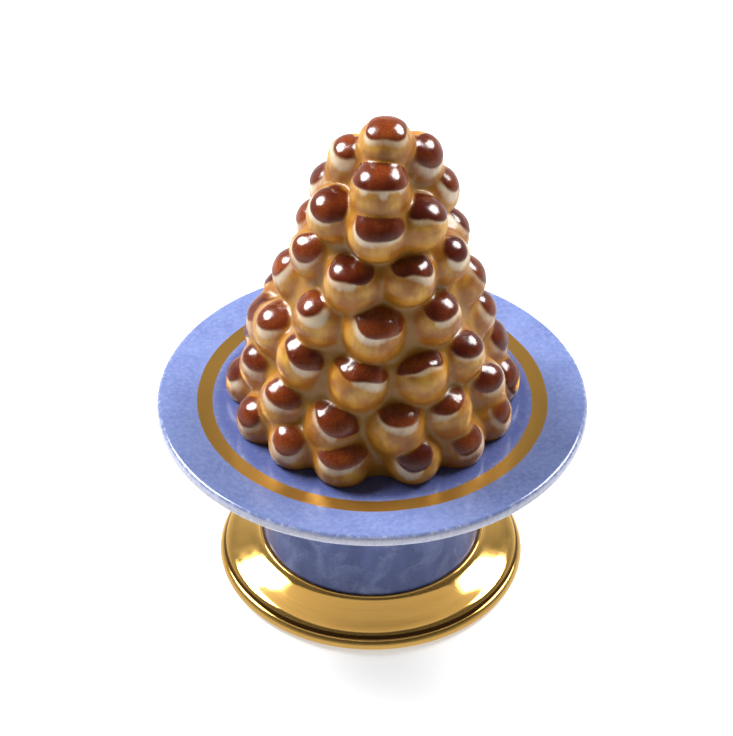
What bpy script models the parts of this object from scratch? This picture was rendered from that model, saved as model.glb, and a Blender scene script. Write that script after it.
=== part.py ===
"""A glazed porcelain croquembouche on its pedestal cake stand: an ornament about 87 mm tall.

Metres, +Z up. The foot stands on z = 0 with the axis of the stand on x = y = 0, and -Y is the front.
The tower is one casting, a cone of choux puffs in rings fused to a core. The stand is a disc, a waisted
stem and a flared foot.
"""
import math
import random
from collections import namedtuple

import bmesh
import bpy
from mathutils import Matrix, Vector

# Stand: radii from the axis, heights above the table.
PLATE_RADIUS = 0.0350
PLATE_TOP = 0.0332
PLATE_UNDER = 0.0315
PLATE_WELL_RADIUS = 0.0260
PLATE_RIM_RISE = 0.0003
PLATE_EDGE_RADIUS = 0.0008
STEM_BASE = 0.0062
STEM_FOOT_RADIUS = 0.0181
STEM_WAIST_RADIUS = 0.0166
STEM_HEAD_RADIUS = 0.0178
STEM_STEPS = 6
FOOT_RADIUS = 0.0254
BEAD_RADIUS = 0.0003
# How far outside the stem the bead's own centre line runs.
BEAD_OFFSET = 0.00045
FLARE_RADIUS = 0.0244
FLARE_HEIGHT = 0.00295
# How far the flare's hollow sinks below a straight slope at its middle.
FLARE_SAG = 0.00025
FLARE_STEPS = 4
GROOVE_RADIUS = 0.0247
GROOVE_HEIGHT = 0.0022
ROLL_RADIUS = 0.0011
ROLL_HEIGHT = 0.0012
JOINT_GAP = 0.0003
LATHE_STEPS = 56
# Points closer than this are one point, and edges that turn by more than this many degrees stay sharp.
MERGE_DISTANCE = 0.00001
SHARP_ANGLE = 40

# Tower: each ring's height above the plate, its reach from the axis, the turns in degrees from the front
# towards +X of the puffs that face forwards, and how many more share the arc behind them evenly.
Ring = namedtuple("Ring", "height reach turns behind")
RINGS = (
    Ring(0.0025, 0.0195, (-94, -64, -39, -14, 19, 44, 67, 95), 5),
    Ring(0.0080, 0.0177, (-82, -52, -21, 11, 40, 71, 104), 5),
    Ring(0.0132, 0.0164, (-98,), 0),
    Ring(0.0156, 0.0153, (-80, -48, -10, 27, 59, 101), 4),
    Ring(0.0234, 0.0128, (-99, -44, -3, 44, 95), 3),
    Ring(0.0306, 0.0104, (-119, -77, -24, 25, 71, 111), 2),
    Ring(0.0387, 0.0082, (-119, -66, -6, 45, 108), 1),
    Ring(0.0448, 0.0055, (-121, -7, 119), 0),
    Ring(0.0498, 0.0, (0,), 0),
)
TOWER_LEAN = 0.0329
PUFF_RADIUS = 0.0043
PUFF_SQUASH = 0.93
SIZE_SPREAD = 0.06
LIFT_SPREAD = 0.0005
PUFF_SEED = 907550
CORE_MARGIN = 0.0003
# How far the core runs down past the plate's top before the tower's base is cut flat.
CORE_DEPTH = 0.0012
CORE_SIDES = 24
# A faceted ball lies inside its sphere, so it is made this much larger.
FACET_ALLOWANCE = 1.03


def clear_scene():
    """Remove every object of the open scene."""
    for old in list(bpy.data.objects):
        bpy.data.objects.remove(old)


def finish_material(name, colour, roughness, metallic=0.0):
    """Make a Principled material with one colour."""
    material = bpy.data.materials.new(name)
    material.use_nodes = True
    shader = material.node_tree.nodes["Principled BSDF"]
    shader.inputs["Base Color"].default_value = (*colour, 1.0)
    shader.inputs["Roughness"].default_value = roughness
    shader.inputs["Metallic"].default_value = metallic
    material.diffuse_color = (*colour, 1.0)
    return material


def object_from(shape, name, material=None):
    """Turn a bmesh into an object of the scene."""
    mesh = bpy.data.meshes.new(name)
    bmesh.ops.recalc_face_normals(shape, faces=shape.faces)
    shape.to_mesh(mesh)
    shape.free()
    if material:
        mesh.materials.append(material)
    piece = bpy.data.objects.new(name, mesh)
    bpy.context.scene.collection.objects.link(piece)
    return piece


def arc(centre, radius, start, end, steps):
    """Points of an arc in the radius-height plane, from one angle in degrees to another."""
    angles = [math.radians(start + (end - start) * n / steps) for n in range(steps + 1)]
    return [(centre[0] + radius * math.cos(a), centre[1] + radius * math.sin(a)) for a in angles]


def turned(name, outline, material):
    """Spin an outline of (radius, height) points, whose ends lie on the axis, into a closed solid."""
    shape = bmesh.new()
    points = [shape.verts.new((radius, 0.0, height)) for radius, height in outline]
    edges = [shape.edges.new(pair) for pair in zip(points, points[1:])]
    bmesh.ops.spin(shape, geom=points + edges, axis=(0, 0, 1), cent=(0, 0, 0), angle=math.tau,
                   steps=LATHE_STEPS, use_merge=True)
    bmesh.ops.remove_doubles(shape, verts=shape.verts, dist=MERGE_DISTANCE)
    piece = object_from(shape, name, material)
    piece.data.shade_smooth()
    piece.data.set_sharp_from_angle(angle=math.radians(SHARP_ANGLE))
    return piece


def cake_plate():
    """The disc: a flat well, a rim that rises a little, and a rounded edge above and below."""
    edge = PLATE_EDGE_RADIUS
    rim_top = PLATE_TOP + PLATE_RIM_RISE
    outline = [(0.0, PLATE_UNDER)]
    outline += arc((PLATE_RADIUS - edge, PLATE_UNDER + edge), edge, -90, 0, 2)
    outline += arc((PLATE_RADIUS - edge, rim_top - edge), edge, 0, 90, 3)
    outline += [(PLATE_WELL_RADIUS, PLATE_TOP), (0.0, PLATE_TOP)]
    return turned("cake_plate", outline, finish_material("blue glaze", (0.20, 0.26, 0.52), 0.20))


def stem_radius(share):
    """Radius of the stem at a share of its height: a waist between the foot and the plate."""
    straight = STEM_FOOT_RADIUS + (STEM_HEAD_RADIUS - STEM_FOOT_RADIUS) * share
    middle = (STEM_FOOT_RADIUS + STEM_HEAD_RADIUS) / 2
    return straight - (middle - STEM_WAIST_RADIUS) * math.sin(math.pi * share)


def stem():
    """The waisted drum between the foot and the plate."""
    top = PLATE_UNDER - JOINT_GAP
    outline = [(0.0, STEM_BASE)]
    for step in range(STEM_STEPS + 1):
        share = step / STEM_STEPS
        outline.append((stem_radius(share), STEM_BASE + (top - STEM_BASE) * share))
    outline.append((0.0, top))
    return turned("stem", outline, finish_material("dark blue glaze", (0.08, 0.10, 0.26), 0.16))


def foot():
    """The gilt foot: a bead round the stem, a hollow flare, a groove and a rolled rim."""
    top = STEM_BASE - JOINT_GAP
    bead_centre = (STEM_FOOT_RADIUS + BEAD_OFFSET, top)
    flare_start = bead_centre[0] + BEAD_RADIUS
    roll_centre = (FOOT_RADIUS - ROLL_RADIUS, ROLL_HEIGHT)
    outline = [(0.0, top)]
    outline += arc(bead_centre, BEAD_RADIUS, 180, 0, 4)
    for step in range(1, FLARE_STEPS + 1):
        share = step / FLARE_STEPS
        drop = (top - FLARE_HEIGHT) * share + FLARE_SAG * math.sin(share * math.pi)
        outline.append((flare_start + (FLARE_RADIUS - flare_start) * share, top - drop))
    outline += [(GROOVE_RADIUS, GROOVE_HEIGHT)]
    outline += arc(roll_centre, ROLL_RADIUS, 60, -70, 4)
    outline += [(roll_centre[0], 0.0), (0.0, 0.0)]
    return turned("foot", outline, finish_material("gold lustre", (0.80, 0.50, 0.15), 0.12, 1.0))


def ring_turns(ring):
    """Every puff's turn in a ring: the forward ones as given, the others spread over the rest."""
    first, last = ring.turns[0], ring.turns[-1]
    gap = (360 - (last - first)) / (ring.behind + 1)
    return list(ring.turns) + [last + gap * (n + 1) for n in range(ring.behind)]


def puffs():
    """Centre and radius of every puff, from the bottom ring up."""
    chance = random.Random(PUFF_SEED)
    places = []
    for ring in RINGS:
        for turn in ring_turns(ring):
            height = ring.height + chance.uniform(-LIFT_SPREAD, LIFT_SPREAD)
            radius = PUFF_RADIUS * chance.uniform(1 - SIZE_SPREAD, 1 + SIZE_SPREAD)
            angle = math.radians(turn)
            x = ring.reach * math.sin(angle) + TOWER_LEAN * height
            y = -ring.reach * math.cos(angle)
            places.append((Vector((x, y, PLATE_TOP + height)), radius))
    return places


def puff_heap():
    """All the puffs as separate faceted balls in one guide object."""
    shape = bmesh.new()
    for centre, radius in puffs():
        size = radius * FACET_ALLOWANCE
        place = Matrix.LocRotScale(centre, None, Vector((size, size, size * PUFF_SQUASH)))
        bmesh.ops.create_icosphere(shape, subdivisions=2, radius=1.0, matrix=place)
    return object_from(shape, "puff_heap")


def core():
    """The cone inside the rings, as a lofted stack of leaning circles."""
    shape = bmesh.new()
    loops = []
    heights = [-CORE_DEPTH] + [ring.height for ring in RINGS]
    reaches = [RINGS[0].reach] + [ring.reach for ring in RINGS]
    for height, reach in zip(heights, reaches):
        place = Matrix.Translation((TOWER_LEAN * height, 0.0, PLATE_TOP + height))
        circle = bmesh.ops.create_circle(shape, segments=CORE_SIDES, radius=reach + CORE_MARGIN,
                                         matrix=place)
        loops.append(circle["verts"])
    for lower, upper in zip(loops, loops[1:]):
        rim = {edge for vert in lower + upper for edge in vert.link_edges
               if edge.is_boundary or edge.is_wire}
        bmesh.ops.bridge_loops(shape, edges=list(rim))
    bmesh.ops.holes_fill(shape, edges=shape.edges, sides=CORE_SIDES)
    return object_from(shape, "croquembouche", finish_material("choux glaze", (0.45, 0.24, 0.06), 0.2))


def as_guide(piece):
    """Mark an object as a tool of the modelling, which is no part of the ornament."""
    piece.hide_render = True
    piece.display_type = "WIRE"
    return piece


def below_plate():
    """A block that fills everything under the tower's flat base."""
    shape = bmesh.new()
    side = PLATE_RADIUS * 2
    top = PLATE_TOP + JOINT_GAP
    place = Matrix.Translation((0.0, 0.0, top - side / 2))
    bmesh.ops.create_cube(shape, size=side, matrix=place)
    return as_guide(object_from(shape, "below_plate"))


def croquembouche():
    """The tower: its puffs joined to the core, and cut flat where it sits on the plate."""
    tower = core()
    join = tower.modifiers.new("puffs", "BOOLEAN")
    join.operation = "UNION"
    join.solver = "EXACT"
    join.use_self = True
    join.object = as_guide(puff_heap())
    cut = tower.modifiers.new("flat base", "BOOLEAN")
    cut.operation = "DIFFERENCE"
    cut.solver = "EXACT"
    cut.object = below_plate()
    return tower


clear_scene()
foot()
stem()
cake_plate()
croquembouche()
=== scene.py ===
"""The looks of a glazed porcelain croquembouche ornament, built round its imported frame.

The tower is one smooth casting of choux puffs with painted chocolate caps and cream strokes. It stands on a
sponged blue plate with a gold ring, over a dark blue stem and a gold foot.
"""
import logging
import math
import random
from collections.abc import Iterable
from dataclasses import dataclass, field
from enum import Enum
from functools import partial

import bmesh
import bpy
import numpy as np
from bmesh.types import BMesh
from bpy.types import Material, Mesh, Node, NodeSocket, NodeTree, Object
from mathutils import Matrix, Vector


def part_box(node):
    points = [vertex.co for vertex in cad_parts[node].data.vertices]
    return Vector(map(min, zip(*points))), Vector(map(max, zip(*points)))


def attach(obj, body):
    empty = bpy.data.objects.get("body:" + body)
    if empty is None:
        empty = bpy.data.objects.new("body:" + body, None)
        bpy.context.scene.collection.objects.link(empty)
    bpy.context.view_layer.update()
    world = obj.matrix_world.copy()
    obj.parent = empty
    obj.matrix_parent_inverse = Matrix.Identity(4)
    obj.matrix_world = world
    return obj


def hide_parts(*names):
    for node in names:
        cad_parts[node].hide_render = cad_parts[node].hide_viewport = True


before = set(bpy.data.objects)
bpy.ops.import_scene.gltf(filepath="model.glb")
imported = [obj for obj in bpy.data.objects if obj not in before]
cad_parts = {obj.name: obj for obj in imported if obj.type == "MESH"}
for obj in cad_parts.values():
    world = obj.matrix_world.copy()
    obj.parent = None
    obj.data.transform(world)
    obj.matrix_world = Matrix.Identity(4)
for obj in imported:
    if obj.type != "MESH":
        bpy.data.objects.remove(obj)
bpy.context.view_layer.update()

LOG = logging.getLogger("croquembouche")
MM = 0.001
# The tower's base stays a joint's gap above the plate.
JOINT_GAP = 0.3 * MM
TOWER_LOW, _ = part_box("croquembouche")
PLATE_LOW, PLATE_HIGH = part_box("cake_plate")
STEM_LOW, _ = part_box("stem")
_, FOOT_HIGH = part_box("foot")
PLATE_TOP = TOWER_LOW.z - JOINT_GAP
# Sockets of the Mix node when it mixes colours, and when it mixes numbers.
COLOUR_A, COLOUR_B, COLOUR_OUT = 6, 7, 2
NUMBER_A, NUMBER_B = 2, 3
# How many points of the tower are worked out at once, to spare memory.
BATCH = 20000


def linear(code: str) -> tuple[float, float, float, float]:
    """Turn a colour into linear light.

    Args:
        code: The colour as sRGB hex, such as "#ffffff".

    Returns:
        Red, green, blue and an alpha of 1.
    """
    values = [int(code[place:place + 2], 16) / 255 for place in (1, 3, 5)]
    red, green, blue = (v / 12.92 if v <= 0.04045 else ((v + 0.055) / 1.055) ** 2.4 for v in values)
    return red, green, blue, 1.0


def feed(tree: NodeTree, node: Node, inputs: dict) -> None:
    """Link or set a node's inputs.

    Args:
        tree: The node's tree.
        node: The node.
        inputs: For each input by name or number, its value, or the socket or the node that feeds it. A node
            stands for its first output.
    """
    for key, value in inputs.items():
        if isinstance(value, Node):
            value = value.outputs[0]
        if isinstance(value, NodeSocket):
            tree.links.new(value, node.inputs[key])
        else:
            node.inputs[key].default_value = value


def add_node(tree: NodeTree, kind: str, inputs: dict | None = None, **settings) -> Node:
    """Add a node with its settings, and feed its inputs.

    Args:
        tree: The node tree that takes it.
        kind: The shader node's type, such as "Mix".
        inputs: Its inputs, as feed() takes them.
        **settings: The node's own properties.

    Returns:
        The new node.
    """
    node = tree.nodes.new("ShaderNode" + kind)
    for name, value in settings.items():
        setattr(node, name, value)
    feed(tree, node, inputs or {})
    return node


def new_material(name: str) -> tuple[Material, NodeTree, Node]:
    """Start a material.

    Args:
        name: The material's name.

    Returns:
        The material, its node tree and its Principled shader.
    """
    material = bpy.data.materials.new(name)
    material.use_nodes = True
    return material, material.node_tree, material.node_tree.nodes["Principled BSDF"]


def new_piece(shape: BMesh, name: str, material: Material, node: str) -> Object:
    """Make a bmesh into a smooth piece that stands for a CAD node.

    Args:
        shape: The piece's mesh, in the frame's own place. It is freed.
        name: The piece's name.
        material: Its material.
        node: The CAD node that it stands for.

    Returns:
        The piece.
    """
    mesh = bpy.data.meshes.new(name)
    shape.to_mesh(mesh)
    shape.free()
    mesh.materials.append(material)
    mesh.shade_smooth()
    piece = bpy.data.objects.new(name, mesh)
    bpy.context.scene.collection.objects.link(piece)
    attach(piece, "root")
    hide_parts(node)
    return piece


class Stroke(Enum):
    """How cream was brushed below a cap: its middle and reach in degrees round the puff, its depth in mm."""

    LONG = (0, 72, 0.95)
    LEFT = (-38, 56, 1.1)
    RIGHT = (38, 56, 1.1)
    SHORT = (0, 46, 1.0)
    DEEP = (-8, 56, 1.3)
    DABS = (10, 72, 1.2)
    FAINT = (10, 60, 0.5)


@dataclass(frozen=True)
class Cap:
    """A chocolate cap: its lean and the turn it leans to in degrees, its cut, its cream and how thin it is.

    The cut is how far out from the puff's middle the cap begins, as a share of the puff's radius.
    """

    lean: float
    heading: float
    cut: float
    cream: Stroke
    thinness: float


@dataclass(frozen=True)
class Ring:
    """A ring of puffs: height above the plate, reach from the axis, turns from the front, how many behind."""

    height: float
    reach: float
    turns: tuple[int, ...]
    behind: int
    caps: tuple[Cap, ...]


RINGS = (
    Ring(2.5 * MM, 19.5 * MM, (-94, -64, -39, -14, 19, 44, 67, 95), 5, (
        Cap(40, -80, 0.80, Stroke.SHORT, 0.5), Cap(43, -61, 0.80, Stroke.SHORT, 0.5),
        Cap(42, -27, 0.78, Stroke.LONG, 0.8), Cap(13, -8, 0.54, Stroke.LONG, 0.75),
        Cap(46, 9, 0.76, Stroke.LEFT, 0.15), Cap(44, 33, 0.83, Stroke.RIGHT, 0.6),
        Cap(53, 50, 0.87, Stroke.RIGHT, 0.55), Cap(60, 75, 0.74, Stroke.SHORT, 0.35))),
    Ring(8.0 * MM, 17.7 * MM, (-82, -52, -21, 11, 40, 71, 104), 5, (
        Cap(36, -27, 0.77, Stroke.DEEP, 0.5), Cap(24, 0, 0.71, Stroke.LONG, 0.6),
        Cap(26, 50, 0.44, Stroke.LEFT, 0.5), Cap(15, 48, 0.68, Stroke.LONG, 0.75),
        Cap(11, -62, 0.62, Stroke.LEFT, 0.55), Cap(41, 40, 0.79, Stroke.RIGHT, 0.35),
        Cap(52, 85, 0.74, Stroke.SHORT, 0.3))),
    Ring(13.2 * MM, 16.4 * MM, (-98,), 0, (Cap(35, -100, 0.74, Stroke.DEEP, 0.5),)),
    Ring(15.6 * MM, 15.3 * MM, (-80, -48, -10, 27, 59, 101), 4, (
        Cap(23, -57, 0.77, Stroke.SHORT, 0.6), Cap(26, 45, 0.50, Stroke.RIGHT, 0.5),
        Cap(18, 125, 0.41, Stroke.RIGHT, 0.55), Cap(17, -135, 0.47, Stroke.FAINT, 0.5),
        Cap(28, 42, 0.78, Stroke.FAINT, 0.3), Cap(52, 96, 0.74, Stroke.LONG, 0.4))),
    Ring(23.4 * MM, 12.8 * MM, (-99, -44, -3, 44, 95), 3, (
        Cap(45, -94, 0.73, Stroke.LONG, 0.7), Cap(21, -60, 0.77, Stroke.DEEP, 0.5),
        Cap(13, 50, 0.52, Stroke.LONG, 0.7), Cap(21, 41, 0.71, Stroke.RIGHT, 0.5),
        Cap(54, 105, 0.72, Stroke.SHORT, 0.4))),
    Ring(30.6 * MM, 10.4 * MM, (-119, -77, -24, 25, 71, 111), 2, (
        Cap(52, -94, 0.82, Stroke.LONG, 0.6), Cap(37, -31, 0.79, Stroke.LONG, 0.6),
        Cap(12, -14, 0.65, Stroke.LEFT, 0.3), Cap(5, 87, 0.63, Stroke.RIGHT, 0.25),
        Cap(35, 49, 0.82, Stroke.RIGHT, 0.25), Cap(50, 110, 0.74, Stroke.SHORT, 0.3))),
    Ring(38.7 * MM, 8.2 * MM, (-119, -66, -6, 45, 108), 1, (
        Cap(41, -102, 0.85, Stroke.DEEP, 0.4), Cap(22, -5, 0.62, Stroke.LEFT, 0.45),
        Cap(27, 13, 0.64, Stroke.LONG, 0.35), Cap(17, 83, 0.63, Stroke.FAINT, 0.3),
        Cap(39, 82, 0.84, Stroke.DEEP, 0.4))),
    Ring(44.8 * MM, 5.5 * MM, (-121, -7, 119), 0, (
        Cap(23, -42, 0.78, Stroke.DEEP, 0.5), Cap(6, 162, 0.41, Stroke.DABS, 0.45),
        Cap(42, 58, 0.68, Stroke.DEEP, 0.45))),
    Ring(49.8 * MM, 0.0, (0,), 0, (Cap(5, 59, 0.66, Stroke.LONG, 0.6),)),
)


def soft_least(first: np.ndarray, second: np.ndarray, width: float) -> np.ndarray:
    """The lesser of two fields, rounded where they cross.

    Args:
        first: One field.
        second: The other.
        width: How wide the rounding is.

    Returns:
        The joined field.
    """
    low = np.minimum(first, second)
    return low - width * np.log(np.exp((low - first) / width) + np.exp((low - second) / width))


@dataclass
class Puff:
    """One puff: its place and radius, the turn its cream faces, its cap and the waves of the cap's edge."""

    centre: Vector
    radius: float
    cream_turn: float
    cap: Cap
    waves: tuple[tuple[float, float], ...]


@dataclass
class Measures:
    """Points measured against the puffs nearest them, one row a point and one column a puff."""

    distance: np.ndarray
    above: np.ndarray
    turn: np.ndarray
    down: np.ndarray


@dataclass
class ChouxTower:
    """The casting: rings of puffs fused to a core, with raised caps, cut flat where it meets the plate."""

    lean: float = 0.0329
    puff_radius: float = 4.3 * MM
    puff_squash: float = 0.93
    size_spread: float = 0.06
    lift_spread: float = 0.5 * MM
    puff_seed: int = 907550
    cap_seed: int = 41
    # Above 2, a puff has a flatter top and fuller shoulders than a ball.
    fullness: float = 2.3
    # How many puffs can shape the skin at one point.
    neighbours: int = 6
    core_margin: float = 0.2 * MM
    # The core narrows by this much at the top, where the puffs stand clear of it.
    core_taper: float = 2.6 * MM
    core_cover: float = 0.3 * MM
    fillet: float = 0.7 * MM
    cap_rise: float = 0.16 * MM
    cap_rim: float = 0.5 * MM
    # The cream was brushed on from the front, so it faces this share of its puff's turn.
    cream_share: float = 0.3
    wave_depth: float = 0.055
    wave_count: int = 4
    unevenness: float = 0.07 * MM
    lumps: float = 0.03 * MM
    base_lift: float = 0.03 * MM
    # Every cap that RINGS leaves open is drawn between these: lean, turn to either side, cut and thinness.
    drawn_lean: tuple[float, float] = (12, 45)
    drawn_turn: float = 25
    drawn_cut: tuple[float, float] = (0.6, 0.8)
    drawn_thinness: tuple[float, float] = (0.2, 0.8)
    # The rough casting: how finely its balls and cones are made, and how far the cones overlap.
    ball_levels: int = 4
    cone_sides: int = 96
    cone_overlap: float = 1.0 * MM
    voxel: float = 0.335 * MM
    quick_voxel: float = 0.45 * MM
    smooth_rounds: int = 2
    # Settling: how many moves a point makes, the step that finds the slope, and the longest move.
    settle_steps: int = 4
    nudge: float = 0.02 * MM
    longest_move: float = 0.4 * MM
    least_slope: float = 0.15
    # Paint goes this far from a puff's own skin into the joint, and its ends are rounded.
    paint_depth: float = 0.5 * MM
    paint_round: float = 0.3 * MM
    puffs: list[Puff] = field(default_factory=list)

    def place_puffs(self) -> None:
        """Work out every puff from the bottom ring up, with its cap."""
        chance = random.Random(self.puff_seed)
        brush = random.Random(self.cap_seed)
        for ring in RINGS:
            first, last = ring.turns[0], ring.turns[-1]
            gap = (360 - (last - first)) / (ring.behind + 1)
            turns = list(ring.turns) + [last + gap * (n + 1) for n in range(ring.behind)]
            for number, turn in enumerate(turns):
                height = ring.height + chance.uniform(-self.lift_spread, self.lift_spread)
                radius = self.puff_radius * chance.uniform(1 - self.size_spread, 1 + self.size_spread)
                angle = math.radians(turn)
                x = ring.reach * math.sin(angle) + self.lean * height
                y = -ring.reach * math.cos(angle)
                cream_turn = angle
                if number < len(ring.caps):
                    cap = ring.caps[number]
                    cream_turn = angle * self.cream_share
                else:
                    cap = Cap(brush.uniform(*self.drawn_lean),
                              turn + brush.uniform(-self.drawn_turn, self.drawn_turn),
                              brush.uniform(*self.drawn_cut), brush.choice(list(Stroke)),
                              brush.uniform(*self.drawn_thinness))
                waves = tuple((brush.uniform(0, self.wave_depth), brush.uniform(0, math.tau))
                              for _ in range(self.wave_count))
                self.puffs.append(Puff(Vector((x, y, PLATE_TOP + height)), radius, cream_turn, cap, waves))

    def cap_axes(self) -> np.ndarray:
        """The direction that each cap faces."""
        lean = np.radians([puff.cap.lean for puff in self.puffs])
        heading = np.radians([puff.cap.heading for puff in self.puffs])
        return np.stack([np.sin(lean) * np.sin(heading), -np.sin(lean) * np.cos(heading), np.cos(lean)], 1)

    def nearest(self, points: np.ndarray) -> np.ndarray:
        """Find the puffs that can shape the skin at points.

        Args:
            points: Places, one a row.

        Returns:
            The numbers of the nearest puffs, one row a point.
        """
        centres = np.array([puff.centre for puff in self.puffs])
        gaps = (points ** 2).sum(1)[:, None] - 2 * points @ centres.T + (centres ** 2).sum(1)
        return np.argpartition(gaps, self.neighbours, axis=1)[:, :self.neighbours]

    def measure(self, points: np.ndarray, near: np.ndarray) -> Measures:
        """Measure points against the puffs nearest them.

        Args:
            points: Places, one a row.
            near: The puffs from nearest().

        Returns:
            The distance to each puff's plain skin, how far the point is above the cap's edge, its turn round
            the puff from the front in radians, and how far it is below the puff's middle in radii.
        """
        centres = np.array([puff.centre for puff in self.puffs])[near]
        radii = np.array([puff.radius for puff in self.puffs])[near]
        away = points[:, None, :] - centres
        across = np.hypot(away[:, :, 0], away[:, :, 1])
        upright = np.abs(away[:, :, 2]) / self.puff_squash
        power = self.fullness
        distance = (across ** power + upright ** power + 1e-20) ** (1 / power) - radii
        turn = np.arctan2(away[:, :, 0], -away[:, :, 1])
        edge = np.array([puff.cap.cut for puff in self.puffs])[near]
        for wave in range(self.wave_count):
            depths = np.array([puff.waves[wave][0] for puff in self.puffs])[near]
            phases = np.array([puff.waves[wave][1] for puff in self.puffs])[near]
            edge = edge + depths * np.cos((wave + 1) * turn + phases)
        above = np.einsum("npk,npk->np", away, self.cap_axes()[near]) - edge * radii
        return Measures(distance, above, turn, -away[:, :, 2] / radii)

    def painted(self, above: np.ndarray, distance: np.ndarray) -> np.ndarray:
        """How far inside a stroke's outline points are, when the brush keeps off the joints between puffs."""
        return soft_least(above, self.paint_depth - distance, self.paint_round)

    def core_reach(self, ring: Ring) -> float:
        """The core's radius at a ring."""
        return ring.reach + self.core_margin - self.core_taper * (ring.height / RINGS[-1].height) ** 4

    def core_distance(self, points: np.ndarray) -> np.ndarray:
        """Measure from points to the leaning cone inside the rings.

        Args:
            points: Places, one a row.

        Returns:
            The distances, below zero inside.
        """
        heights = np.array([ring.height for ring in RINGS])
        reaches = np.array([self.core_reach(ring) for ring in RINGS])
        height = points[:, 2] - PLATE_TOP
        reach = np.interp(height, heights, reaches)
        slope = math.atan2(reaches[0] - reaches[-1], heights[-1] - heights[0])
        across = np.hypot(points[:, 0] - self.lean * height, points[:, 1])
        cone = (across - reach) * math.cos(slope)
        return np.maximum(cone, height - heights[-1])

    def skin_distance(self, points: np.ndarray, near: np.ndarray) -> np.ndarray:
        """Distance from points to the casting's skin, with every joint filled to a soft fillet.

        Args:
            points: Places, one a row.
            near: The puffs from nearest().

        Returns:
            The distances, below zero inside.
        """
        sizes = self.measure(points, near)
        share = np.clip(self.painted(sizes.above, sizes.distance) / self.cap_rim + 0.5, 0, 1)
        distance = sizes.distance - self.cap_rise * share * share * (3 - 2 * share)
        total = np.exp(-distance / self.fillet).sum(1) + np.exp(-self.core_distance(points) / self.fillet)
        skin = -self.fillet * np.log(total + 1e-30)
        # Hand-made unevenness: slow waves 5 to 8 mm long, and small lumps 3 to 4 mm across.
        x, y, z = points.T
        wander = np.sin(x * 900 + np.sin(z * 1100) * 2) * np.sin(z * 1300 + 1)
        wander += np.sin(y * 1000 + np.sin(x * 800) * 2) * np.sin(z * 800 + 4)
        lumps = np.sin(x * 2300 + np.sin(y * 1700) * 2) * np.sin(z * 2100 + np.sin(x * 1500) * 2)
        lumps *= np.sin(y * 1900 + 2)
        return skin + self.unevenness * wander / 2 + self.lumps * lumps

    def settle(self, points: np.ndarray) -> np.ndarray:
        """Move points onto the skin along its slope.

        Args:
            points: Places near the skin, one a row.

        Returns:
            The moved places.
        """
        near = self.nearest(points)
        for _ in range(self.settle_steps):
            here = self.skin_distance(points, near)
            slope = np.stack([(self.skin_distance(points + step, near) - here) / self.nudge
                              for step in np.eye(3) * self.nudge], 1)
            move = here / np.maximum((slope ** 2).sum(1), self.least_slope)
            points = points - slope * np.clip(move, -self.longest_move, self.longest_move)[:, None]
        return points

    def rough_casting(self) -> BMesh:
        """Balls and a cone wrapped in one even grid of faces.

        Returns:
            The wrapped mesh, close to the skin.
        """
        shape = bmesh.new()
        for puff in self.puffs:
            size = puff.radius + self.cap_rise
            place = Matrix.LocRotScale(puff.centre, None, Vector((size, size, size * self.puff_squash)))
            bmesh.ops.create_icosphere(shape, subdivisions=self.ball_levels, radius=1.0, matrix=place)
        for lower, upper in zip(RINGS, RINGS[1:]):
            depth = upper.height - lower.height + self.cone_overlap
            middle = (upper.height + lower.height) / 2
            place = Matrix.Translation((self.lean * middle, 0.0, PLATE_TOP + middle))
            bmesh.ops.create_cone(shape, cap_ends=True, cap_tris=False, segments=self.cone_sides,
                                  radius1=self.core_reach(lower) + self.core_cover,
                                  radius2=max(self.core_reach(upper), 0.0) + self.core_cover, depth=depth,
                                  matrix=place)
        # A drum runs down past the plate's top, so that the base is cut through solid porcelain.
        low = RINGS[0].height + 3.0 * MM
        place = Matrix.Translation((0.0, 0.0, PLATE_TOP + RINGS[0].height - low / 2))
        reach = RINGS[0].reach + self.core_margin
        bmesh.ops.create_cone(shape, cap_ends=True, cap_tris=False, segments=self.cone_sides, radius1=reach,
                              radius2=reach, depth=low, matrix=place)
        mesh = bpy.data.meshes.new("rough_casting")
        shape.to_mesh(mesh)
        shape.free()
        guide = bpy.data.objects.new("rough_casting", mesh)
        bpy.context.scene.collection.objects.link(guide)
        wrap = guide.modifiers.new("wrap", "REMESH")
        wrap.mode = "VOXEL"
        wrap.voxel_size = self.voxel
        wrapped = bmesh.new()
        wrapped.from_object(guide, bpy.context.evaluated_depsgraph_get())
        bpy.data.objects.remove(guide)
        return wrapped

    def cut_base(self, shape: BMesh) -> None:
        """Cut the casting flat just above the plate, and close it.

        Args:
            shape: The casting.
        """
        everything = list(shape.verts) + list(shape.edges) + list(shape.faces)
        bmesh.ops.bisect_plane(shape, geom=everything, dist=0.005 * MM, clear_inner=True,
                               plane_co=(0, 0, PLATE_TOP + self.base_lift), plane_no=(0, 0, 1))
        rim = [edge for edge in shape.edges if edge.is_boundary]
        bmesh.ops.holes_fill(shape, edges=rim, sides=0)

    def paint(self, mesh: Mesh) -> None:
        """Write the brushwork on the mesh as attributes, in millimetres unless said.

        Args:
            mesh: The casting's mesh. It gains cap and cream, which are above zero where there is that paint,
                crevice, the depth of the joint's fillet, down, how far below the puff's middle in radii, and
                thinness, which is the cap's own.
        """
        count = len(mesh.vertices)
        flat = np.zeros(count * 3)
        mesh.vertices.foreach_get("co", flat)
        parts = [self.brushwork(part) for part in np.array_split(flat.reshape(-1, 3), 1 + count // BATCH)]
        for name in parts[0]:
            values = np.concatenate([part[name] for part in parts])
            attribute = mesh.attributes.new(name, "FLOAT", "POINT")
            attribute.data.foreach_set("value", values.astype(np.float32))

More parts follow.
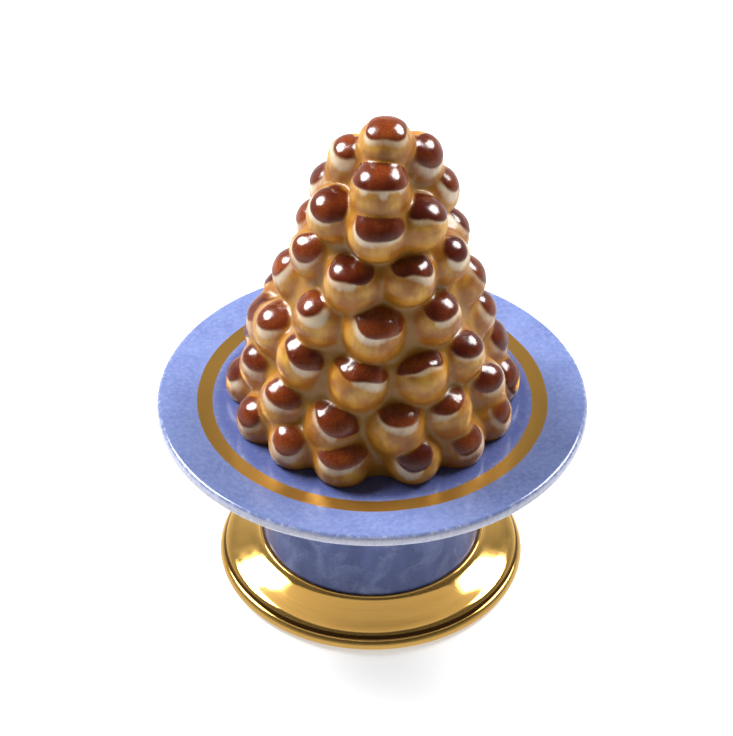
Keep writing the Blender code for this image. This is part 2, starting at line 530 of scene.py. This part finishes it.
    def brushwork(self, points: np.ndarray) -> dict[str, np.ndarray]:
        """Work out the brushwork at points.

        Args:
            points: Places on the skin, one a row.

        Returns:
            The values that paint() describes, by name.
        """
        near = self.nearest(points)
        sizes = self.measure(points, near)
        rows, own = np.arange(len(points)), sizes.distance.argmin(1)
        puff = near[rows, own]
        distance, above, turn = sizes.distance[rows, own], sizes.above[rows, own], sizes.turn[rows, own]
        strokes = [each.cap.cream for each in self.puffs]
        middle, reach, depth = np.array([stroke.value for stroke in strokes], float)[puff].T
        facing = np.array([each.cream_turn for each in self.puffs])[puff]
        off = np.degrees(np.angle(np.exp(1j * (turn - facing)))) - middle
        phase = np.array([each.waves[0][1] for each in self.puffs])[puff]
        depth = depth * np.sqrt(np.clip(1 - (off / reach) ** 2, 0, 1))
        depth = depth * (0.95 + 0.35 * np.cos(2.5 * turn + phase))
        dabs = np.array([stroke is Stroke.DABS for stroke in strokes])[puff]
        blobs = np.sqrt(np.clip(np.cos(np.radians(off * 8)), 0, 1))
        depth = np.where(dabs, depth * (0.25 + 0.75 * blobs), depth) * MM
        cream = np.where(depth > 0, self.painted(above + depth, distance), -4 * MM)
        thinness = np.array([each.cap.thinness for each in self.puffs])
        return {"cap": self.painted(above, distance) / MM, "cream": cream / MM, "crevice": distance / MM,
                "down": sizes.down[rows, own], "thinness": thinness[puff]}

    def build(self, material: Material) -> Object:
        """Make the casting.

        Args:
            material: Its finish.

        Returns:
            The piece.
        """
        self.place_puffs()
        shape = self.rough_casting()
        for _ in range(self.smooth_rounds):
            bmesh.ops.smooth_vert(shape, verts=shape.verts, factor=0.5, use_axis_x=True, use_axis_y=True,
                                  use_axis_z=True)
            self.settle_mesh(shape)
        self.cut_base(shape)
        piece = new_piece(shape, "choux_tower", material, "croquembouche")
        self.paint(piece.data)
        return piece

    def settle_mesh(self, shape: BMesh) -> None:
        """Settle every vertex of a mesh on the skin.

        Args:
            shape: The casting.
        """
        points = np.array([vert.co for vert in shape.verts])
        parts = np.array_split(points, max(1, len(points) // BATCH))
        moved = np.concatenate([self.settle(part) for part in parts])
        for vert, place in zip(shape.verts, moved):
            vert.co = place


def arc(centre: tuple[float, float], radius: float, start: float, end: float,
        steps: int) -> list[tuple[float, float]]:
    """Points of an arc in the radius-height plane.

    Args:
        centre: The arc's centre.
        radius: Its radius.
        start: The first point's angle in degrees.
        end: The last point's angle.
        steps: How many parts it has.

    Returns:
        The points, as (radius, height).
    """
    angles = [math.radians(start + (end - start) * n / steps) for n in range(steps + 1)]
    return [(centre[0] + radius * math.cos(a), centre[1] + radius * math.sin(a)) for a in angles]


@dataclass
class CakeStand:
    """The stand: a plate with a raised rim, a waisted stem, and a flared foot with a rolled edge."""

    lathe_steps: int = 240
    edge_radius: float = 0.8 * MM
    well_radius: float = 26.0 * MM
    # The stem touches the plate and the foot but for this.
    stem_clearance: float = 0.02 * MM
    stem_waist: float = 16.6 * MM
    stem_foot: float = 18.1 * MM
    stem_head: float = 17.8 * MM
    stem_steps: int = 40
    bead: float = 0.3 * MM
    flare_radius: float = 24.4 * MM
    flare_height: float = 2.95 * MM
    # Slopes of the flare in degrees, at even steps from the bead outwards: hollow, then a rounded shoulder.
    flare_slopes: tuple[float, ...] = (46, 33, 30, 29, 28, 26, 22, 20, 28, 48)
    flare_steps: int = 36
    groove_radius: float = 24.72 * MM
    groove_height: float = 2.2 * MM
    roll: float = 1.1 * MM
    roll_height: float = 1.2 * MM

    def turned(self, outline: Iterable[tuple[float, float]]) -> BMesh:
        """Spin an outline whose ends lie on the axis into a closed solid.

        Args:
            outline: Its points, as (radius, height).

        Returns:
            The solid.
        """
        shape = bmesh.new()
        points = [shape.verts.new((radius, 0.0, height)) for radius, height in outline]
        edges = [shape.edges.new(pair) for pair in zip(points, points[1:])]
        bmesh.ops.spin(shape, geom=points + edges, axis=(0, 0, 1), cent=(0, 0, 0), angle=math.tau,
                       steps=self.lathe_steps, use_merge=True)
        bmesh.ops.remove_doubles(shape, verts=shape.verts, dist=0.001 * MM)
        bmesh.ops.recalc_face_normals(shape, faces=shape.faces)
        return shape

    def plate(self, material: Material) -> Object:
        """The disc, flat inside and rising a little to a rounded rim.

        Args:
            material: Its finish.

        Returns:
            The piece.
        """
        edge, under, rim = self.edge_radius, PLATE_LOW.z, PLATE_HIGH.z
        reach = PLATE_HIGH.x - edge
        outline = [(0.0, under), (reach * 0.5, under)]
        outline += arc((reach, under + edge), edge, -90, 0, 10)
        outline += arc((reach, rim - edge), edge, 0, 90, 12)
        for step in range(1, 13):
            share = step / 12
            ease = 0.5 + 0.5 * math.cos(math.pi * share)
            outline.append((reach + (self.well_radius - reach) * share, PLATE_TOP + (rim - PLATE_TOP) * ease))
        outline += [(self.well_radius * share, PLATE_TOP) for share in (0.9, 0.5, 0.0)]
        return new_piece(self.turned(outline), "blue_plate", material, "cake_plate")

    def stem(self, material: Material) -> Object:
        """The waisted drum, from the foot right up to the plate.

        Args:
            material: Its finish.

        Returns:
            The piece.
        """
        low, high = STEM_LOW.z - JOINT_GAP + self.stem_clearance, PLATE_LOW.z - self.stem_clearance
        middle = (self.stem_foot + self.stem_head) / 2
        outline = [(0.0, low)]
        for step in range(self.stem_steps + 1):
            share = step / self.stem_steps
            straight = self.stem_foot + (self.stem_head - self.stem_foot) * share
            radius = straight - (middle - self.stem_waist) * math.sin(math.pi * share)
            outline.append((radius, low + (high - low) * share))
        outline.append((0.0, high))
        return new_piece(self.turned(outline), "blue_stem", material, "stem")

    def flare(self, start: float, top: float) -> list[tuple[float, float]]:
        """The foot's hollow flare, from the bead to the groove.

        Args:
            start: The radius where it leaves the bead.
            top: The height there.

        Returns:
            Its points, as (radius, height).
        """
        shares = np.linspace(0, 1, self.flare_steps + 1)
        places = np.linspace(0, 1, len(self.flare_slopes))
        falls = np.tan(np.radians(np.interp(shares, places, self.flare_slopes)))
        drops = np.cumsum((falls + np.roll(falls, 1))[1:])
        drops *= (top - self.flare_height) / drops[-1]
        radii = start + (self.flare_radius - start) * shares[1:]
        return [(float(radius), float(top - drop)) for radius, drop in zip(radii, drops)]

    def foot(self, material: Material) -> Object:
        """The gold foot: a bead round the stem, a hollow flare, a groove and a rolled edge.

        Args:
            material: Its finish.

        Returns:
            The piece.
        """
        top = STEM_LOW.z - JOINT_GAP
        bead_centre = (self.stem_foot + self.bead * 1.3, top - self.bead * 0.2)
        roll_centre = FOOT_HIGH.x - self.roll
        outline = [(0.0, top), (self.stem_foot * 0.5, top)]
        outline += arc(bead_centre, self.bead, 150, 20, 10)
        outline += self.flare(*outline[-1])
        outline.append((self.groove_radius, self.groove_height))
        outline += arc((roll_centre, self.roll_height), self.roll, 66, -75, 24)
        outline += [(roll_centre, 0.0), (0.0, 0.0)]
        return new_piece(self.turned(outline), "gold_foot", material, "foot")


@dataclass(frozen=True)
class PaintedChoux:
    """Enamel painted on porcelain and glazed over: ochre dough, brown caps, cream strokes."""

    straw: str = "#daa53a"
    ochre: str = "#a86a18"
    # Crust brown, for the brush streaks and for the painted shade under and round each puff.
    baked_and_shade: str = "#a25f18"
    # Olive brown of the joints, partly enamel colour and partly painted shade.
    joint_and_shade: str = "#a0701e"
    chocolate: str = "#96441a"
    chocolate_deep: str = "#561a07"
    chocolate_thin: str = "#b8662a"
    cream: str = "#e2d2ba"
    hair_size: float = 0.5 * MM
    patch_size: float = 3.4 * MM
    grain_size: float = 0.35 * MM
    cream_rise: float = 0.08 * MM
    enamel_relief: float = 0.12 * MM
    glaze_ior: float = 1.6
    glaze_roughness: float = 0.18
    dough_roughness: float = 0.34

    def material(self) -> Material:
        """Make the material: colours by brushwork and painted shade, under one clear glaze that gives sharp
        highlights.

        Returns:
            The material.
        """
        material, tree, shader = new_material("painted_glazed_porcelain")
        add = partial(add_node, tree)
        place = add("TexCoord").outputs["Object"]
        cap, cream, crevice, down, thinness = (
            add("Attribute", attribute_name=name).outputs["Fac"]
            for name in ("cap", "cream", "crevice", "down", "thinness"))
        # Brush hairs leave upright streaks.
        upright = add("Mapping", {"Vector": place, "Scale": (1.0, 1.0, 0.14)})
        streaks = add("TexNoise", {
            "Vector": upright, "Scale": 1 / self.hair_size, "Detail": 4.0, "Roughness": 0.6})
        patches = add("TexNoise", {"Vector": place, "Scale": 1 / self.patch_size, "Detail": 3.0})
        grain = add("TexNoise", {"Vector": place, "Scale": 1 / self.grain_size, "Detail": 2.0})
        # Dough: straw and ochre patches, and painted shade that browns each puff towards its underside.
        warm = add("MapRange", {"Value": patches, "From Min": 0.4, "From Max": 0.62})
        # Painted shade: darker brown below each puff's middle, mottled by the patches.
        low = add("Math", {0: patches, 1: 1.2, 2: down}, operation="MULTIPLY_ADD")
        under = add("MapRange", {"Value": low, "From Min": 0.55, "From Max": 1.5, "To Max": 0.85})
        streak = add("MapRange", {"Value": streaks, "From Min": 0.45, "From Max": 0.8, "To Max": 0.45})
        # The enamel is burnt orange round each puff's foot and olive brown down in the joints: partly the
        # painter's colour, partly painted shade where the joints lie in shadow.
        rim = add("MapRange", {"Value": crevice, "From Min": -0.06, "From Max": 0.2, "To Max": 0.75})
        joint_and_shade = add("MapRange", {"Value": crevice, "From Min": 0.15, "From Max": 0.65, "To Max": 0.9})
        # Cream: full below the cap, feathered by the brush at its lower edge, and kept out of the joints.
        ragged = add("Math", {0: streaks, 1: -0.3, 2: cream}, operation="MULTIPLY_ADD")
        ragged = add("Math", {0: patches, 1: -0.8, 2: ragged}, operation="MULTIPLY_ADD")
        brushed = add("MapRange", {"Value": ragged, "From Min": -0.74, "From Max": -0.1, "To Max": 0.92})
        proud = add("MapRange", {
            "Value": crevice, "From Min": 0.0, "From Max": 0.3, "To Min": 1.0, "To Max": 0.0})
        brushed = add("Math", {0: brushed, 1: proud}, operation="MULTIPLY")
        coat = linear(self.straw)
        for cover, colour in (
                (warm, self.ochre), (under, self.baked_and_shade), (streak, self.baked_and_shade), (rim, self.baked_and_shade),
                (joint_and_shade, self.joint_and_shade), (brushed, self.cream)):
            mixed = add("Mix", {0: cover, COLOUR_A: coat, COLOUR_B: linear(colour)}, data_type="RGBA")
            coat = mixed.outputs[COLOUR_OUT]
        # Chocolate: thin and warm in the middle, deep towards its edge, and thinner on some caps.
        thin = add("Math", {0: patches, 1: 2.0, 2: cap}, operation="MULTIPLY_ADD")
        thin = add("Math", {0: thinness, 1: 1.6, 2: thin}, operation="MULTIPLY_ADD")
        middle = add("MapRange", {"Value": thin, "From Min": 1.6, "From Max": 3.4})
        warmth = add("MapRange", {"Value": grain, "From Min": 0.4, "From Max": 0.75, "To Max": 0.6})
        warmth = add("Math", {0: warmth, 1: middle}, operation="MULTIPLY")
        cocoa = linear(self.chocolate_deep)
        for cover, colour in ((middle, self.chocolate), (warmth, self.chocolate_thin)):
            mixed = add("Mix", {0: cover, COLOUR_A: cocoa, COLOUR_B: linear(colour)}, data_type="RGBA")
            cocoa = mixed.outputs[COLOUR_OUT]
        edge = add("Math", {0: grain, 1: 0.08, 2: cap}, operation="MULTIPLY_ADD")
        covered = add("MapRange", {"Value": edge, "From Min": -0.06, "From Max": 0.16})
        coat = add("Mix", {0: covered, COLOUR_A: coat, COLOUR_B: cocoa}, data_type="RGBA")
        # The glaze lies thick and mirror-bright on the caps, and soaks duller into the dough's enamel.
        rough = add("MapRange", {
            "Value": covered, "To Min": self.dough_roughness, "To Max": self.glaze_roughness})
        raised = add("Bump", {"Height": brushed, "Distance": self.cream_rise, "Strength": 0.6})
        relief = add("Bump", {
            "Height": patches, "Distance": self.enamel_relief, "Strength": 0.5, "Normal": raised})
        feed(tree, shader, {"Base Color": coat.outputs[COLOUR_OUT], "IOR": self.glaze_ior, "Roughness": rough,
                            "Normal": relief})
        return material


@dataclass(frozen=True)
class SpongedGlaze:
    """Cobalt glaze sponged on, with a gold line: mottled periwinkle that is thin and grey on the edge."""

    colour: str = "#7282b6"
    light: str = "#8897ca"
    dark: str = "#606ea4"
    worn: str = "#b8bcd4"
    speck: str = "#dadbe6"
    # Deep blue of the painted shade round the tower's base.
    well_shade: str = "#3a4a98"
    biscuit: str = "#c8c5c0"
    gold: str = "#d2a04e"
    pore_size: float = 0.8 * MM
    cloud_size: float = 7.0 * MM
    speck_size: float = 0.35 * MM
    # How far the worn rim and the handled edge wander, and how far the gold line does.
    worn_wander: float = 0.7 * MM
    handled_wander: float = 2.4 * MM
    line_wander: float = 0.35 * MM
    line_radius: float = 27.2 * MM
    line_width: float = 2.56 * MM
    pore_relief: float = 0.02 * MM
    glaze_ior: float = 1.55
    glaze_roughness: float = 0.16
    gold_roughness: float = 0.36

    def material(self) -> Material:
        """Make the material: mottles of a sponge's pores, a worn edge, painted shade round the tower's base
        and the painted line.

        Returns:
            The material.
        """
        material, tree, shader = new_material("sponged_blue_glaze")
        add = partial(add_node, tree)
        place = add("TexCoord").outputs["Object"]
        height = add("SeparateXYZ", {0: place}).outputs[2]
        flat = add("VectorMath", {0: place, 1: (1.0, 1.0, 0.0)}, operation="MULTIPLY")
        radius = add("VectorMath", {0: flat}, operation="LENGTH").outputs["Value"]
        pores = add("TexNoise", {
            "Vector": place, "Scale": 1 / self.pore_size, "Detail": 5.0, "Roughness": 0.65})
        clouds = add("TexNoise", {"Vector": place, "Scale": 1 / self.cloud_size, "Detail": 3.0})
        specks = add("TexNoise", {"Vector": place, "Scale": 1 / self.speck_size, "Detail": 3.0})
        deep = add("MapRange", {"Value": clouds, "From Min": 0.35, "From Max": 0.7, "To Max": 0.7})
        pale = add("MapRange", {"Value": pores, "From Min": 0.4, "From Max": 0.8, "To Max": 0.8})
        # The glaze runs thin below the rim's upper edge and shows the grey body with pale specks.
        ragged = add("Math", {0: pores, 1: self.worn_wander, 2: height}, operation="MULTIPLY_ADD")
        rim = PLATE_HIGH.z
        worn = add("MapRange", {
            "Value": ragged, "From Min": rim - 0.25 * MM, "From Max": rim + 0.1 * MM, "To Min": 0.85,
            "To Max": 0.0})
        freckles = add("MapRange", {"Value": specks, "From Min": 0.52, "From Max": 0.68})
        body = add("Mix", {
            0: freckles, COLOUR_A: linear(self.worn), COLOUR_B: linear(self.speck)}, data_type="RGBA")
        # Handling has rubbed pale blotches along the plate's rounded edge.
        handled = add("Math", {0: pores, 1: self.handled_wander, 2: radius}, operation="MULTIPLY_ADD")
        reach = PLATE_HIGH.x
        blotch = add("MapRange", {
            "Value": handled, "From Min": reach + 0.75 * MM, "From Max": reach + 1.3 * MM, "To Max": 0.55})
        # Painted shade: a deeper blue round the tower's base, fading out towards the gold line.
        painted_well_shade = add("MapRange", {
            "Value": radius, "From Min": self.line_radius - 2.5 * MM, "From Max": self.line_radius,
            "To Min": 0.6, "To Max": 0.0})
        # Unglazed biscuit underneath, which the foot's gold mirrors.
        bare = add("Math", {0: height, 1: PLATE_LOW.z + 0.04 * MM}, operation="LESS_THAN")
        # The gold line: a ring on the upper face whose edges waver with the hand.
        waver = add("Math", {0: clouds, 1: self.line_wander, 2: radius}, operation="MULTIPLY_ADD")
        off = add("Math", {0: waver, 1: self.line_radius + self.line_wander / 2}, operation="SUBTRACT")
        off = add("Math", {0: off}, operation="ABSOLUTE")
        half = self.line_width / 2
        line = add("MapRange", {
            "Value": off, "From Min": half - 0.06 * MM, "From Max": half + 0.03 * MM, "To Min": 1.0,
            "To Max": 0.0})
        upper = add("Math", {0: height, 1: PLATE_TOP - 0.5 * MM}, operation="GREATER_THAN")
        line = add("Math", {0: line, 1: upper}, operation="MULTIPLY")
        coat = linear(self.colour)
        for cover, colour in (
                (deep, linear(self.dark)), (pale, linear(self.light)), (worn, body.outputs[COLOUR_OUT]),
                (blotch, linear(self.speck)), (painted_well_shade, linear(self.well_shade)), (bare, linear(self.biscuit)),
                (line, linear(self.gold))):
            mixed = add("Mix", {0: cover, COLOUR_A: coat, COLOUR_B: colour}, data_type="RGBA")
            coat = mixed.outputs[COLOUR_OUT]
        rough = add("MapRange", {
            "Value": pores, "To Min": self.glaze_roughness * 0.7, "To Max": self.glaze_roughness * 1.4})
        rough = add("Mix", {0: line, NUMBER_A: rough, NUMBER_B: self.gold_roughness})
        relief = add("Bump", {"Height": pores, "Distance": self.pore_relief, "Strength": 0.5})
        feed(tree, shader, {"Base Color": coat, "Metallic": line, "IOR": self.glaze_ior, "Roughness": rough,
                            "Normal": relief})
        return material


@dataclass(frozen=True)
class StemGlaze:
    """The same cobalt, fired darker and poured on: smooth slate blue with slow clouds."""

    colour: str = "#56649c"
    light: str = "#8a97c8"
    dark: str = "#424e80"
    run_size: float = 4.0 * MM
    drift_size: float = 6.0 * MM
    grain_size: float = 0.4 * MM
    run_relief: float = 0.1 * MM
    glaze_ior: float = 1.55
    glaze_roughness: float = 0.16

    def material(self) -> Material:
        """Make the material: slow clouds of deeper and paler glaze, and a faint grain of pinholes.

        Returns:
            The material.
        """
        material, tree, shader = new_material("dark_blue_glaze")
        add = partial(add_node, tree)
        place = add("TexCoord").outputs["Object"]
        tall = add("Mapping", {"Vector": place, "Scale": (1.0, 1.0, 0.35)})
        runs = add("TexNoise", {"Vector": tall, "Scale": 1 / self.run_size, "Detail": 5.0})
        drifts = add("TexNoise", {
            "Vector": place, "Scale": 1 / self.drift_size, "Detail": 4.0, "Distortion": 1.0})
        grain = add("TexNoise", {"Vector": place, "Scale": 1 / self.grain_size, "Detail": 2.0})
        deep = add("MapRange", {"Value": runs, "From Min": 0.35, "From Max": 0.7})
        mist = add("Math", {0: grain, 1: 0.25, 2: drifts}, operation="MULTIPLY_ADD")
        pale = add("MapRange", {"Value": mist, "From Min": 0.56, "From Max": 0.9, "To Max": 0.7})
        coat = linear(self.colour)
        for cover, colour in ((deep, self.dark), (pale, self.light)):
            mixed = add("Mix", {0: cover, COLOUR_A: coat, COLOUR_B: linear(colour)}, data_type="RGBA")
            coat = mixed.outputs[COLOUR_OUT]
        relief = add("Bump", {"Height": runs, "Distance": self.run_relief, "Strength": 0.4})
        feed(tree, shader, {"Base Color": coat, "IOR": self.glaze_ior, "Roughness": self.glaze_roughness,
                            "Normal": relief})
        return material


@dataclass(frozen=True)
class GoldLustre:
    """Burnished gold lustre fired on glaze: a mirror with faint turning lines, and painted shade in the
    groove.
    """

    gold: str = "#f0c069"
    rubbed: str = "#dca850"
    # Brown of the painted shade in the groove.
    groove_shade: str = "#5a3410"
    line_gap: float = 0.35 * MM
    line_relief: float = 0.01 * MM
    cloud_size: float = 3.0 * MM
    # How far round the foot the turning lines wander, in the pattern's own units.
    wander: float = 1.2
    metallic: float = 0.84
    brightest: float = 0.07
    dullest: float = 0.14

    def material(self) -> Material:
        """Make the material: rings of brush lines round the foot, and a brown line of painted shade in the
        groove.

        Returns:
            The material.
        """
        material, tree, shader = new_material("burnished_gold_lustre")
        add = partial(add_node, tree)
        place = add("TexCoord").outputs["Object"]
        flat = add("VectorMath", {0: place, 1: (1.0, 1.0, 0.0)}, operation="MULTIPLY")
        radius = add("VectorMath", {0: flat}, operation="LENGTH").outputs["Value"]
        way = add("VectorMath", {0: flat}, operation="NORMALIZE")
        way = add("VectorMath", {0: way, 1: (self.wander, self.wander, 0.0)}, operation="MULTIPLY")
        away = add("Math", {0: radius, 1: 1 / self.line_gap}, operation="MULTIPLY")
        turned = add("CombineXYZ", {2: away})
        turned = add("VectorMath", {0: turned, 1: way}, operation="ADD")
        rings = add("TexNoise", {"Vector": turned, "Scale": 1.0, "Detail": 4.0, "Roughness": 0.6})
        clouds = add("TexNoise", {"Vector": place, "Scale": 1 / self.cloud_size, "Detail": 4.0})
        rubbed = add("MapRange", {"Value": rings, "From Min": 0.4, "From Max": 0.75, "To Max": 0.6})
        # Painted shade: a brown line along the groove between the flare and the rolled edge.
        stand = CakeStand()
        middle = (stand.flare_radius + stand.groove_radius) / 2
        off = add("Math", {0: radius, 1: middle}, operation="SUBTRACT")
        off = add("Math", {0: off}, operation="ABSOLUTE")
        painted_groove_shade = add("MapRange", {
            "Value": off, "From Min": 0.13 * MM, "From Max": 0.22 * MM, "To Min": 0.9, "To Max": 0.0})
        coat = linear(self.gold)
        for cover, colour in ((rubbed, self.rubbed), (painted_groove_shade, self.groove_shade)):
            mixed = add("Mix", {0: cover, COLOUR_A: coat, COLOUR_B: linear(colour)}, data_type="RGBA")
            coat = mixed.outputs[COLOUR_OUT]
        rough = add("MapRange", {
            "Value": clouds, "From Min": 0.3, "From Max": 0.7, "To Min": self.brightest,
            "To Max": self.dullest})
        relief = add("Bump", {"Height": rings, "Distance": self.line_relief, "Strength": 0.4})
        feed(tree, shader, {
            "Base Color": coat, "Metallic": self.metallic, "Roughness": rough, "Normal": relief})
        return material


@dataclass(frozen=True)
class SoftBox:
    """A soft box: where it stands seen from the plate, its width and height in degrees, its brightness."""

    name: str
    direction: tuple[float, float, float]
    width: float
    height: float
    radiance: float
    distance: float = 0.5

    def build(self) -> None:
        """Make the light, facing the tower."""
        data = bpy.data.lights.new(self.name, "AREA")
        data.shape = "ELLIPSE"
        data.size = 2 * self.distance * math.tan(math.radians(self.width / 2))
        data.size_y = 2 * self.distance * math.tan(math.radians(self.height / 2))
        area = data.size * data.size_y * math.pi / 4
        data.energy = self.radiance * math.pi * area
        light = bpy.data.objects.new(self.name, data)
        away = Vector(self.direction).normalized()
        light.location = Vector((0, 0, PLATE_TOP)) + away * self.distance
        light.rotation_euler = away.to_track_quat("Z", "Y").to_euler()
        light.visible_camera = False
        bpy.context.scene.collection.objects.link(light)


@dataclass
class Studio:
    """A white table, soft boxes at both sides and a long lens."""

    floor_half: float = 1.5
    paper: str = "#e4e4e4"
    paper_glow: float = 0.5
    lens: float = 146.7
    sensor: float = 36.0
    distance: float = 487.85 * MM
    elevation: float = 38.37
    roll: float = 0.5
    # How far right of and below the picture's middle the plate's centre lies, as tangents.
    aim: tuple[float, float] = (0.00192, 0.00957)
    low_light: float = 0.34
    high_light: float = 0.06
    back_light: float = 0.35
    # Seen in the glaze and the gold, the paper is dimmer than it is to the eye.
    paper_light: float = 0.35
    boxes: tuple[SoftBox, ...] = (
        SoftBox("left_box", (-0.60, 0.34, 0.72), 30, 28, 24.5),
        SoftBox("right_box", (0.58, 0.42, 0.69), 31, 25, 18.0),
    )

    def build_floor(self) -> None:
        """A plain white table top."""
        shape = bmesh.new()
        bmesh.ops.create_grid(shape, x_segments=1, y_segments=1, size=self.floor_half)
        mesh = bpy.data.meshes.new("table_top")
        shape.to_mesh(mesh)
        shape.free()
        # White sweep paper: matt and glowing a little, so that only soft shadows show on it.
        material, tree, shader = new_material("white_paper")
        feed(tree, shader, {"Base Color": linear(self.paper), "Roughness": 0.9,
                            "Emission Color": linear("#ffffff"), "Emission Strength": self.paper_glow})
        mesh.materials.append(material)
        floor = bpy.data.objects.new("table_top", mesh)
        bpy.context.scene.collection.objects.link(floor)
        # Glaze and gold mirror the room's dimmer paper instead: the bright one would veil them in grey.
        floor.visible_glossy = False

    def build_camera(self) -> None:
        """A long lens looking down at the plate's centre."""
        tilt, roll = math.radians(self.elevation), math.radians(self.roll)
        turn = Matrix.Rotation(math.pi / 2 - tilt, 3, "X") @ Matrix.Rotation(roll, 3, "Z")
        aim_right, aim_down = self.aim
        offset = turn @ Vector((aim_right, -aim_down, -1.0)) * self.distance
        data = bpy.data.cameras.new("camera")
        data.lens = self.lens
        data.sensor_width = self.sensor
        data.clip_start, data.clip_end = 0.01, 10.0
        camera = bpy.data.objects.new("camera", data)
        camera.matrix_world = Matrix.Translation(Vector((0, 0, PLATE_TOP)) - offset) @ turn.to_4x4()
        bpy.context.scene.collection.objects.link(camera)
        bpy.context.scene.camera = camera

    def build_world(self) -> None:
        """A dim room that is dark overhead and lighter towards the pale wall behind."""
        world = bpy.data.worlds.new("studio")
        world.use_nodes = True
        tree = world.node_tree
        add = partial(add_node, tree)
        way = add("TexCoord").outputs["Generated"]
        _, back, up = add("SeparateXYZ", {0: way}).outputs
        light = add("MapRange", {
            "Value": up, "From Min": 0.1, "From Max": 0.5, "To Min": self.low_light,
            "To Max": self.high_light})
        behind = add("MapRange", {"Value": back, "From Min": 0.2, "From Max": 0.9, "To Max": self.back_light})
        low = add("MapRange", {"Value": up, "From Min": 0.2, "From Max": 0.7, "To Min": 1.0, "To Max": 0.0})
        light = add("Math", {0: behind, 1: low, 2: light}, operation="MULTIPLY_ADD")
        paper = add("MapRange", {
            "Value": up, "From Min": -0.15, "From Max": 0.05, "To Min": self.paper_light, "To Max": 0.0})
        light = add("Math", {0: paper, 1: light}, operation="ADD")
        feed(tree, tree.nodes["Background"], {"Color": linear("#ffffff"), "Strength": light})
        bpy.context.scene.world = world

    def build(self) -> None:
        """Set up the whole studio."""
        self.build_floor()
        self.build_camera()
        self.build_world()
        for box in self.boxes:
            box.build()
        bpy.context.scene.view_settings.view_transform = "Standard"


def main() -> None:
    """Build every piece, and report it."""
    logging.basicConfig(level=logging.INFO, format="%(name)s: %(message)s")
    stand = CakeStand()
    pieces = [
        ChouxTower().build(PaintedChoux().material()),
        stand.plate(SpongedGlaze().material()),
        stand.stem(StemGlaze().material()),
        stand.foot(GoldLustre().material()),
    ]
    for piece in pieces:
        LOG.info("%s: %d faces", piece.name, len(piece.data.polygons))
    Studio().build()


if __name__ == "__main__":
    main()
